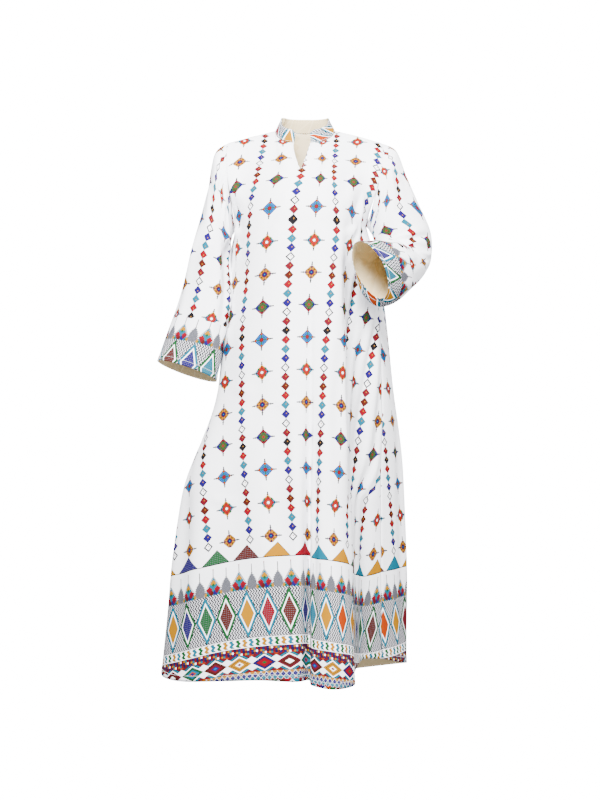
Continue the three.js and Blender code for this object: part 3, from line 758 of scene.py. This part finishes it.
def clothMaterial(name, look, fieldTurn=1, fieldShift=0, fieldEnd=974):
    # fieldTurn is -1 where the piece is cut with its motifs running upwards
    material, tree, shader = newMaterial(name, Roughness=look["roughness"], Specular_IOR_Level=look["specular"])
    place = addNode(tree, "UVMap", uv_map="cloth")
    parts = addNode(tree, "SeparateXYZ", {0: place.outputs[0]})
    u, v = Term(tree, parts.outputs[0]) * 1000, Term(tree, parts.outputs[1]) * 1000
    figure = addNode(tree, "Group", node_tree=printGroup)
    figure.inputs["Field End"].default_value = fieldEnd
    relief = addNode(tree, "Group", node_tree=weaveGroup)
    for term, slot in ((u, figure.inputs["Across"]), (v, figure.inputs["Down"]),
                       (v * fieldTurn + fieldShift, figure.inputs["Field Down"]),
                       (u, relief.inputs["Across"]), (v, relief.inputs["Down"])):
        tree.links.new(term.socket, slot)
    colour = figure.outputs[0]
    # wrong side: painted shade and a painted warm reflection laid over the print, which shows through only a little
    if "showThrough" in look:
        paintedShadeOverPrint = {0: look["showThrough"], 6: look["shade"], 7: colour}
        colour = addNode(tree, "Mix", paintedShadeOverPrint, data_type="RGBA").outputs[2]
    tree.links.new(colour, shader.inputs["Base Color"])
    addBump(tree, shader, relief.outputs[0], weave["bumpStrength"], weave["bumpDistance"])
    return material


sleevePrint = {"fieldTurn": -1, "fieldShift": 977, "fieldEnd": 1018}
bodyCloth = clothMaterial("printed cotton", cottonLook)
sleeveCloth = clothMaterial("printed cotton sleeves", cottonLook, **sleevePrint)
wrongClothPaintedShade = clothMaterial("cotton wrong side", wrongSidePaintedShadeLook)
wrongSleeveClothPaintedShade = clothMaterial("cotton wrong side sleeves", wrongSidePaintedShadeLook, **sleevePrint)
print("materials made")

frontPanel = {"start": 0, "middle": centreFront, "end": leftSeam, "cells": 195, "yokeRows": 60,
              "slitRows": 31, "skirtRows": 158, "reach": -neck["frontReach"], "middleZ": neck["frontZ"],
              "across": 1, "bulge": -armhole["frontBulge"], "open": True, "seed": 3}
backPanel = {"start": leftSeam, "middle": centreBack, "end": lineCount, "cells": 180, "yokeRows": 60,
             "slitRows": 31, "skirtRows": 160, "reach": neck["backReach"], "middleZ": neck["backZ"],
             "across": -1, "bulge": armhole["backBulge"], "open": False, "seed": 5, "chainShift": 27}
bodyFinish = {"thickness": 0.8, "creaseGain": 1.6, "waveSize": 150, "waveHeight": 1.2, "slitPrint": 0.6,
              "sideDip": 1.7, "sideDipWidth": 3.4, "shoulderDip": 0.9, "shoulderDipWidth": 2.6,
              "sideEase": 26, "topEase": 22}
turnedHem = {"rise": 0.5, "body": 15.5, "cuff": 13.5, "halfWidth": 1.8}

# ends (across, down) of each crease on the cloth, then width, height and sideways bow
frontCreases = [
    (-196, 120, -176, 360, 8, -3.4, -6), (-226, 120, -196, 300, 9, 4.4, 6), (196, 130, 172, 330, 9, 3.6, -6),
    (-190, 60, -120, 190, 16, 2.2, 8), (-214, 150, -150, 330, 13, 3.0, -10), (-206, 196, -120, 250, 9, 2.4, 6),
    (170, 70, 130, 210, 15, 2.0, -8), (206, 160, 150, 300, 12, 2.8, 8), (190, 210, 110, 262, 8, 2.0, -5),
    (-60, -10, -22, 120, 12, 1.6, 6), (62, -8, 26, 118, 12, 1.6, -6), (-8, 122, -30, 330, 14, 1.5, 6),
    (-150, 380, -186, 900, 24, 2.6, 12), (-96, 470, -120, 1240, 26, 2.4, -14), (-40, 520, -62, 1290, 24, 2.6, 12),
    (14, 560, 6, 1290, 16, 2.2, -6), (-210, 520, -290, 1260, 26, 4.5, -16), (-262, 700, -360, 1250, 20, 4.0, 10),
    (120, 420, 128, 1290, 18, 2.6, 8), (160, 300, 172, 900, 14, 2.4, -6), (250, 330, 262, 1200, 16, 3.2, 8),
    (330, 300, 340, 1240, 16, 3.0, -10), (392, 420, 408, 1210, 14, 2.6, 6), (224, 230, 206, 640, 11, -2.6, 8),
    (296, 260, 300, 820, 12, -2.8, -8), (-176, 300, -236, 1000, 14, -2.6, 10), (86, 640, 92, 1290, 12, -2.2, -6),
    (-30, 640, 40, 668, 12, 0.9, 8), (-140, 596, -60, 640, 12, 1.0, -8), (-200, 840, -110, 880, 12, 1.0, 8),
    (60, 900, 130, 930, 10, 0.9, -6),
]
backCreases = [
    (-196, 40, -110, 210, 16, 2.4, 8), (196, 50, 108, 214, 16, 2.2, -8), (-170, 200, -150, 420, 13, 2.8, 8),
    (176, 190, 150, 400, 12, 2.6, -8), (-60, -10, -30, 150, 14, 1.4, 6), (64, 0, 40, 160, 14, 1.4, -6),
    (-10, 260, -14, 1330, 26, 3.0, 12), (-84, 330, -112, 1320, 24, 3.4, -14), (-150, 440, -206, 1300, 24, 4.0, 14),
    (-236, 420, -300, 1280, 22, 4.2, -12), (-300, 560, -372, 1260, 18, 3.6, 8), (70, 300, 86, 1330, 24, 3.4, 12),
    (140, 420, 186, 1310, 24, 3.8, -14), (214, 380, 276, 1290, 22, 4.2, 12), (282, 520, 356, 1270, 20, 4.0, -10),
    (-44, 420, -50, 1100, 18, -2.6, 10), (30, 520, 36, 1320, 16, 2.4, -8), (-180, 300, -244, 900, 14, -2.8, 8),
    (112, 560, 140, 1330, 14, -2.4, 8), (250, 300, 320, 900, 14, -2.8, -8), (-96, 90, -20, 150, 12, 1.6, 8),
    (-60, 560, 30, 590, 12, 1.0, 6), (40, 700, 130, 730, 12, 1.0, -6), (-180, 640, -90, 690, 12, 1.0, 8),
]


def hemRidge(toEdge, at):
    # the turned-under cloth lifts the edge, and the stitching pulls it in
    lift = turnedHem["rise"] * smoothStep(at + 1.5, at - 0.5, toEdge)
    return lift + dipAt(toEdge - at, turnedHem["rise"], turnedHem["halfWidth"])


def seamEasing(sheet):
    # relief fades at each cut edge that is sewn, so that the two sides still meet there
    points = sheet["points"]
    length = rowLengths(points)
    fromSide = np.minimum(length, length[:, -1:] - length)
    down = columnLengths(points)
    ease = smoothStep(0, bodyFinish["sideEase"], fromSide) * smoothStep(0, bodyFinish["topEase"], down)
    onShoulder = abs(sheet["shares"]) >= min(sheet["corners"]) - 1e-6
    dip = dipAt(fromSide, bodyFinish["sideDip"], bodyFinish["sideDipWidth"])
    return ease, dip + dipAt(down, bodyFinish["shoulderDip"], bodyFinish["shoulderDipWidth"]) * onShoulder


def makePanel(name, panel, creases):
    sheet = panelSheet(panel)
    points = sheet["points"]
    down = downCloth(sheet, panel)
    across = frontAcross(sheet, panel) if panel["open"] else backAcross(sheet, panel)
    ease, dip = seamEasing(sheet)
    relief = (bodyFinish["creaseGain"] * creaseRelief(creases, across, down)
              + slowWaves(across, down, panel["seed"], bodyFinish["waveSize"], bodyFinish["waveHeight"]))
    fromTop = columnLengths(points)
    toHem = fromTop[-1] - fromTop
    relief = relief * ease + dip + hemRidge(toHem, turnedHem["body"])
    normals = gridNormals(points)
    shown = points + normals * relief[..., None]

    rows, columns = points.shape[:2]
    vertices = shown.reshape(-1, 3)
    uv = np.stack([across, down], -1).reshape(-1, 2)
    faces = gridFaces(rows, columns)
    if panel["open"]:
        # the slit: the column in the middle is doubled and the two edges parted
        middle = columnOf(panel, panel["middle"])
        slitRows = panel["slitRows"]
        low = np.arange(slitRows) * columns + middle
        gap = np.zeros((slitRows, 3))
        gap[:, 0] = sheet["halfGap"][:slitRows]
        high = vertices[low] + gap
        vertices[low] -= gap
        sheet["slitEdges"] = (points[:slitRows, middle] - gap, points[:slitRows, middle] + gap)
        sheet["slitShown"] = (vertices[low].copy(), high.copy())
        firstHigh = len(vertices)
        vertices = np.concatenate([vertices, high])
        uv = np.concatenate([uv, uv[low]])
        uv[low, 0] -= bodyFinish["slitPrint"] * gap[:, 0]
        uv[firstHigh:, 0] += bodyFinish["slitPrint"] * gap[:, 0]
        onHigh = (np.tile(np.arange(columns - 1), rows - 1) >= middle)[:, None]
        onSlit = (faces % columns == middle) & (faces // columns < slitRows)
        faces = np.where(onHigh & onSlit, firstHigh + faces // columns, faces)
    piece = makeMesh(name + "_cloth", vertices, faces.tolist(), uv)
    nodes = [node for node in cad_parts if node.startswith(name)]
    dress(piece, bodyCloth, wrongClothPaintedShade, bodyFinish["thickness"], nodes)
    sheet.update({"piece": piece, "shown": shown, "normals": normals, "toHem": toHem})
    return sheet


front = makePanel("front", frontPanel, frontCreases)
back = makePanel("back", backPanel, backCreases)
print("panels made")

# Sleeves: centre, outer and front vectors at each section, and the turn in degrees where a chain runs.
rightSleeve = {
    "cells": 130, "turns": [37, 55, 63, 80, 80, 75, 70, 66], "cuffDown": 1140, "seed": 11,
    "sections": [
        [(-182, 5, -121), (-10, 1, 104), (0, -58, 0)], [(-198, 3, -142), (-24, 1, 97), (0, -64, 0)],
        [(-208, 1, -185), (-29, 2, 62), (0, -72, 0)], [(-221, -2, -234), (-37, 2, 28), (0, -80, 0)],
        [(-235, -10, -292), (-43, 2, 12), (0, -82, 0)], [(-246, -24, -404), (-60, 2, 1), (0, -72, 0)],
        [(-268, -42, -505), (-72, 4, 6), (0, -59, 3)], [(-286, -52, -579), (-72, 5, 24), (0, -52, 11)]]}
leftSleeve = {
    "cells": 170, "turns": [26, 48, 63, 80, 77, 95, 115, 130, 150, 150, 150], "cuffDown": 1140, "seed": 13,
    "sections": [
        [(171, -1, -120), (22, 7, 104), (0, -58, 0)], [(191, 0, -133), (35, 3, 96), (0, -63, 0)],
        [(205, 2, -167), (46, 2, 68), (0, -64, 0)], [(221, 4, -202), (56, 4, 42), (2, -64, 0)],
        [(241, 4, -250), (68, 8, 13), (4, -62, 0)], [(250, -8, -285), (59, 24, -17), (12, -58, 0)],
        [(245, -36, -302), (42, 26, -41), (24, -50, 2)], [(226, -74, -322), (23, 20, -60), (35, -38, 2)],
        [(201, -116, -342), (12, 9, -72), (42, -27, 0)], [(170, -160, -351), (9, 5, -78), (49, -19, -2)],
        [(152, -196, -345), (30, 5, -66), (30, -22, 8)]]}
sleeveFinish = {"easeShare": 0.3, "headEase": 24, "thickness": 0.8, "waveSize": 120, "waveHeight": 0.7,
                "headDip": 1.5, "headDipWidth": 3.4, "underarmDip": 0.8, "underarmDipWidth": 2.4}

# creases on a sleeve: turn in degrees and share of its length at each end, width, height, bow
rightCreases = [
    (180, 0.40, 184, 0.86, 20, 12, 0), (138, 0.16, 152, 0.62, 10, -5.5, 5),  # the first is the underarm's slack
    (122, 0.1, 136, 0.5, 8, 4.2, -4), (150, 0.3, 158, 0.9, 8, 3.6, 4),
    (70, 0.04, 100, 0.30, 9, 2.4, 6), (110, 0.06, 124, 0.42, 9, 3.2, -6), (60, 0.30, 84, 0.95, 12, 2.2, 6),
    (96, 0.36, 120, 0.98, 12, 3.0, -8), (30, 0.34, 44, 0.98, 13, 2.2, 6), (-20, 0.12, -34, 0.96, 14, 2.4, -8),
    (-80, 0.08, -96, 0.95, 13, 2.8, 8), (-130, 0.1, -140, 0.9, 12, 3.0, -6), (160, 0.2, 176, 0.95, 12, 2.4, 8),
    (84, 0.18, 126, 0.235, 6, 1.6, 4), (66, 0.5, 110, 0.55, 7, 1.0, 4), (-60, 0.46, -20, 0.5, 8, 1.0, -4),
]
leftCreases = [
    (20, 0.42, 112, 0.44, 7, -4.5, -6), (14, 0.47, 96, 0.50, 8, 4.0, 6), (40, 0.53, 92, 0.57, 7, -3.4, 5),
    (60, 0.05, 96, 0.3, 9, 2.2, 6), (100, 0.04, 126, 0.36, 9, 2.8, -6), (20, 0.1, 30, 0.4, 12, 1.8, 5),
    (62, 0.455, 150, 0.47, 6, -3.6, 5), (50, 0.40, 140, 0.415, 6, 2.4, -5), (84, 0.50, 160, 0.515, 7, 2.2, 5),
    (110, 0.54, 176, 0.56, 7, -1.8, -4), (-30, 0.45, -120, 0.47, 9, 1.6, 6), (30, 0.55, 60, 0.96, 12, 2.2, 8),
    (-40, 0.56, -60, 0.97, 13, 2.4, -8), (96, 0.6, 104, 0.97, 11, 2.2, 6), (-110, 0.5, -120, 0.96, 12, 2.6, 8),
    (166, 0.62, 172, 0.96, 11, 2.2, -6), (70, 0.345, 128, 0.37, 6, 1.4, 4),
]


def makeSleeve(name, sleeve, creases, frontEdge, backEdge):
    drops = front["drops"]
    yokeRows = len(drops) - 1
    edge = np.concatenate([frontEdge[:yokeRows + 1], backEdge[yokeRows - 1:0:-1]])
    turn = np.concatenate([math.pi * drops, -math.pi * drops[yokeRows - 1:0:-1]])
    stations = np.linspace(0, 1, len(sleeve["sections"]))
    share = np.linspace(0, 1, sleeve["cells"] + 1)
    centre, outer, ahead = smoothAt(stations, np.array(sleeve["sections"], float), share).transpose(1, 0, 2)
    ovals = (centre[:, None] + outer[:, None] * np.cos(turn)[:, None]
             + ahead[:, None] * np.sin(turn)[:, None])
    ease = np.maximum(0, 1 - share / sleeveFinish["easeShare"])[:, None, None] ** 2
    points = ovals + (edge - ovals[0]) * ease

    # cloth coordinates: down from the cuff's length, across by arc from the chain's own line
    side = np.sign(centre[0, 0])
    closed = np.concatenate([points, points[:, :1]], axis=1)
    run = rowLengths(closed)
    angles = np.concatenate([np.degrees(np.where(turn < 0, turn + 2 * math.pi, turn)), [360.0]])
    chainTurn = smoothAt(stations, sleeve["turns"], share)
    chainRun = np.array([np.interp(a, angles, r) for a, r in zip(chainTurn, run)])
    fromTop = columnLengths(points)
    toCuff = fromTop[-1] - fromTop
    down = sleeve["cuffDown"] - 0.5 * toCuff - 0.5 * toCuff.mean(axis=1, keepdims=True)
    whole = run[:, -1:]
    offset = run[:, :-1] - chainRun[:, None]

    fromHead = share[:, None] * toCuff[0].mean() * np.ones(len(turn))
    relief = slowWaves(offset, fromHead, sleeve["seed"], sleeveFinish["waveSize"], sleeveFinish["waveHeight"])
    for a0, s0, a1, s1, width, height, bow in creases:
        ring0, ring1 = (int(round(s * sleeve["cells"])) for s in (s0, s1))
        u0, u1 = (np.interp(a % 360, angles, run[k]) - chainRun[k] for a, k in ((a0, ring0), (a1, ring1)))
        crease = (u0, fromHead[ring0, 0], u1, fromHead[ring1, 0], width, height, bow)
        for lap in (-1, 0, 1):
            relief += creaseRelief([crease], offset + lap * whole, fromHead)
    fromUnder = np.minimum(abs(run[:, :-1] - run[:, [yokeRows]]), 40)
    relief = (relief * smoothStep(0, sleeveFinish["headEase"], fromTop) + hemRidge(toCuff, turnedHem["cuff"])
              + dipAt(fromTop, sleeveFinish["headDip"], sleeveFinish["headDipWidth"])
              + dipAt(fromUnder, sleeveFinish["underarmDip"], sleeveFinish["underarmDipWidth"]))
    closed = np.concatenate([points[:, -1:], points, points[:, :1]], axis=1)
    normals = gridNormals(closed, 1 if side < 0 else -1)[:, 1:-1]
    shown = points + normals * relief[..., None]

    # the underarm seam is where the cloth coordinate breaks, so the sheet is cut open there
    order = np.concatenate([np.arange(yokeRows, len(turn)), np.arange(0, yokeRows + 1)])
    u = offset[:, order].copy()
    u[:, :len(turn) - yokeRows] -= whole
    uv = np.stack([-side * u, down[:, order]], -1)
    faces = gridFaces(len(share), len(order))
    if side > 0:
        faces = faces[:, ::-1]
    piece = makeMesh(name + "_cloth", shown[:, order].reshape(-1, 3), faces.tolist(), uv.reshape(-1, 2))
    dress(piece, sleeveCloth, wrongSleeveClothPaintedShade, sleeveFinish["thickness"], [name])
    return {"piece": piece, "shown": shown, "normals": normals, "order": order, "toCuff": toCuff}


frontEdges, backEdges = ([sheet["points"][:, k] for k in (0, -1)] for sheet in (front, back))
sleeveRight = makeSleeve("sleeve_right", rightSleeve, rightCreases, frontEdges[0], backEdges[1])
sleeveLeft = makeSleeve("sleeve_left", leftSleeve, leftCreases, frontEdges[1], backEdges[0])
print("sleeves made")

collarLook = {"height": 32, "tipDrop": 7, "tipRadius": 7, "inwardLean": 16, "frontEasing": 0.6, "rows": 12,
              "clearance": 0.4, "inset": 0.2, "topFold": 0.5, "seamDip": 0.6, "thickness": 1.2, "seed": 17,
              "waveSize": 60, "waveHeight": 0.35, "acrossStart": 532, "down": 1096}


def betweenCorners(sheet):
    # the part of a panel's top edge that the collar is sewn to
    low, high = sheet["corners"]
    return sheet["points"][0][(sheet["shares"] >= -low - 1e-6) & (sheet["shares"] <= high + 1e-6)]


def makeCollar():
    neckFront, neckBack = betweenCorners(front), betweenCorners(back)
    low, high = (edge[0] for edge in front["slitEdges"])
    lowSide = neckFront[neckFront[:, 0] < low[0] - 0.5][::-1]
    highSide = neckFront[neckFront[:, 0] > high[0] + 0.5][::-1]
    base = np.concatenate([low[None], lowSide, neckBack[1:-1][::-1], highSide, high[None]])
    away = base - np.array([neck["centreX"], shoulder["seamY"], 0.0])
    away[:, 2] = 0
    away /= np.linalg.norm(away, axis=1, keepdims=True)
    frontness = smoothStep(0, neck["frontReach"], shoulder["seamY"] - base[:, 1])
    rise = np.linspace(0, 1, collarLook["rows"] + 1)[:, None]
    along = rowLengths(base[None])[0]
    fromTip = np.minimum(along, along[-1] - along)
    height = collarLook["height"] + dipAt(fromTip, collarLook["tipDrop"], collarLook["tipRadius"])
    lean = collarLook["inwardLean"] * (1 - collarLook["frontEasing"] * frontness) * rise
    points = base[None] - away[None] * (lean + collarLook["inset"])[..., None]
    points[..., 2] += collarLook["clearance"] + height * rise
    run = rowLengths(points)
    waves = slowWaves(run, height * rise, collarLook["seed"], collarLook["waveSize"], collarLook["waveHeight"])
    relief = collarLook["topFold"] * smoothStep(0.72, 0.86, rise) + dipAt(rise, collarLook["seamDip"], 0.06) + waves
    normals = gridNormals(points)
    shown = points + normals * relief[..., None]
    uv = np.stack([run + collarLook["acrossStart"], collarLook["down"] + height * (1 - rise)], -1)
    piece = makeMesh("collar_cloth", shown.reshape(-1, 3), gridFaces(*run.shape).tolist(), uv.reshape(-1, 2))
    dress(piece, bodyCloth, wrongClothPaintedShade, collarLook["thickness"], ["collar"])
    return {"piece": piece, "shown": shown, "normals": normals}


collar = makeCollar()
print("collar made")

stitch = {"length": 2.9, "pitch": 3.8, "halfWidth": 0.45, "lift": 0.25, "endDip": 0.3, "roughness": 0.6,
          "twist": 900, "bump": 0.0001}
stitchRows = {"hem": 14, "cuff": 12, "slit": 4}  # distance from each edge


def threadMaterial():
    material, tree, shader = newMaterial("sewing thread", Roughness=stitch["roughness"])
    place = addNode(tree, "TexCoord")
    twist = addNode(tree, "TexWave", {"Scale": stitch["twist"], "Vector": place.outputs["Object"]},
                    bands_direction="DIAGONAL")
    # the twist's grooves are painted a little darker than its crests: painted shade, over the bump of the same
    # twist
    grooveShadeColours = {0: twist.outputs["Fac"], 6: tone(226, 226, 228), 7: tone(244, 244, 246)}
    grooveShadeMix = addNode(tree, "Mix", grooveShadeColours, data_type="RGBA")
    tree.links.new(grooveShadeMix.outputs[2], shader.inputs["Base Color"])
    addBump(tree, shader, twist.outputs["Fac"], 1.0, stitch["bump"])
    return material


thread = threadMaterial()


def atDistance(shown, normals, distance, target):
    # the line on a grid where the distance from an edge, counted along each column, is the target
    found = []
    for j in range(shown.shape[1]):
        order = np.argsort(distance[:, j])
        found.append([readAlong(distance[order, j], grid[order, j], target) for grid in (shown, normals)])
    return np.array(found).transpose(1, 0, 2)


def sewRows(name, rows):
    # rows of raised stitches as one mesh, each stitch a small spindle lying on the cloth
    vertices, faces = [], []
    for line, facing in rows:
        run = rowLengths(line[None])[0]
        count = int(run[-1] / stitch["pitch"])
        along = (np.arange(count) + 0.5) * run[-1] / count
        middle, up = readAlong(run, line, along), readAlong(run, facing, along)
        ahead = readAlong(run, line, along + 1) - readAlong(run, line, along - 1)
        ahead /= np.maximum(np.linalg.norm(ahead, axis=1, keepdims=True), 1e-9)
        up /= np.maximum(np.linalg.norm(up, axis=1, keepdims=True), 1e-9)
        side = np.cross(ahead, up)
        for k in range(count):
            first = len(vertices)
            centre = middle[k] + up[k] * stitch["lift"]
            forward, sunk = ahead[k] * stitch["length"], up[k] * stitch["endDip"]
            vertices.append(centre - forward / 2 - sunk)
            for reach in (-0.25, 0.25):
                for a, b in ((1, 0), (0, 1), (-1, 0), (0, -1)):
                    vertices.append(centre + forward * reach + (side[k] * a + up[k] * b) * stitch["halfWidth"])
            vertices.append(centre + forward / 2 - sunk)
            for j in range(4):
                n = (j + 1) % 4
                faces += [(first, first + 1 + n, first + 1 + j),
                          (first + 1 + j, first + 1 + n, first + 5 + n, first + 5 + j),
                          (first + 9, first + 5 + j, first + 5 + n)]
    piece = makeMesh(name, vertices, faces)
    piece.data.materials.append(thread)
    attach(piece, "root")


def slitStitches(sheet):
    # a row beside each edge of the slit
    rows = []
    for edge, side in zip(sheet["slitShown"], (-1, 1)):
        found = []
        for i in range(1, len(edge)):
            row = sheet["shown"][i]
            order = np.argsort(row[:, 0])
            target = edge[i, 0] + side * stitchRows["slit"]
            found.append([readAlong(row[order, 0], grid[i][order], target)
                          for grid in (sheet["shown"], sheet["normals"])])
        rows.append(np.array(found).transpose(1, 0, 2))
    return rows


for name, sheet, extra in (("front_stitches", front, slitStitches(front)), ("back_stitches", back, [])):
    hemRow = atDistance(sheet["shown"], sheet["normals"], sheet["toHem"], stitchRows["hem"])
    sewRows(name, extra + [hemRow])
for name, sleeve in (("sleeve_right_stitches", sleeveRight), ("sleeve_left_stitches", sleeveLeft)):
    line, facing = atDistance(sleeve["shown"], sleeve["normals"], sleeve["toCuff"], stitchRows["cuff"])
    sewRows(name, [(line[sleeve["order"]], facing[sleeve["order"]])])
sewRows("collar_stitches", [(collar["shown"][k], collar["normals"][k]) for k in (1, collarLook["rows"] - 1)])
print("stitches made")

# The floor fades out between two distances from the middle, in metres.
floorLook = {"height": -1.63, "reach": 30, "shade": 0.9, "roughness": 0.9, "fadeFrom": 0.5, "fadeTo": 1.7}
near, far = -floorLook["reach"], floorLook["reach"]
floorCorners = [(x, y, floorLook["height"]) for x, y in ((near, near), (far, near), (far, far), (near, far))]
floorMesh = bpy.data.meshes.new("floor")
floorMesh.from_pydata(floorCorners, [], [(0, 1, 2, 3)])
floor = bpy.data.objects.new("floor", floorMesh)
bpy.context.collection.objects.link(floor)
floorPaint, tree, shader = newMaterial("floor", Base_Color=(*[floorLook["shade"]] * 3, 1),
                                       Roughness=floorLook["roughness"])
place = addNode(tree, "NewGeometry")
away = addNode(tree, "VectorMath", {0: place.outputs["Position"]}, operation="LENGTH")
fade = addNode(tree, "MapRange", {0: away.outputs["Value"], 1: floorLook["fadeFrom"], 2: floorLook["fadeTo"],
                                  3: 1.0, 4: 0.0}, interpolation_type="SMOOTHSTEP")
tree.links.new(fade.outputs[0], shader.inputs["Alpha"])
floorMesh.materials.append(floorPaint)

# The world's light, and how much brighter it is where it is seen as the backdrop.
studio = {"shade": (0.97, 0.98, 1.0, 1), "light": 0.9, "backdrop": 16.0}
world = bpy.data.worlds.new("studio")
bpy.context.scene.world = world
world.use_nodes = True
surround = world.node_tree.nodes["Background"]
surround.inputs[0].default_value = studio["shade"]
seen = addNode(world.node_tree, "LightPath").outputs["Is Camera Ray"]
strength = addNode(world.node_tree, "Math", {0: seen, 1: studio["backdrop"], 2: studio["light"]},
                   operation="MULTIPLY_ADD")
world.node_tree.links.new(strength.outputs[0], surround.inputs[1])

# name, place, target, size and power
lamps = [
    ("key", (-0.3, -2.5, 1.4), (0, 0, -0.5), 1.4, 640),
    ("fill", (2.6, -2.2, 0.5), (0, 0, -0.5), 2.0, 120),
    ("back", (1.6, 3.6, 1.0), (0, 0, -0.6), 2.0, 400),
]
for name, place, target, size, power in lamps:
    light = bpy.data.lights.new(name, "AREA")
    light.size, light.energy = size, power
    lamp = bpy.data.objects.new(name, light)
    lamp.location = place
    aim = np.array(target) - np.array(place)
    lamp.rotation_euler = (math.atan2(math.hypot(aim[0], aim[1]), -aim[2]), 0, math.atan2(-aim[0], aim[1]))
    bpy.context.collection.objects.link(lamp)
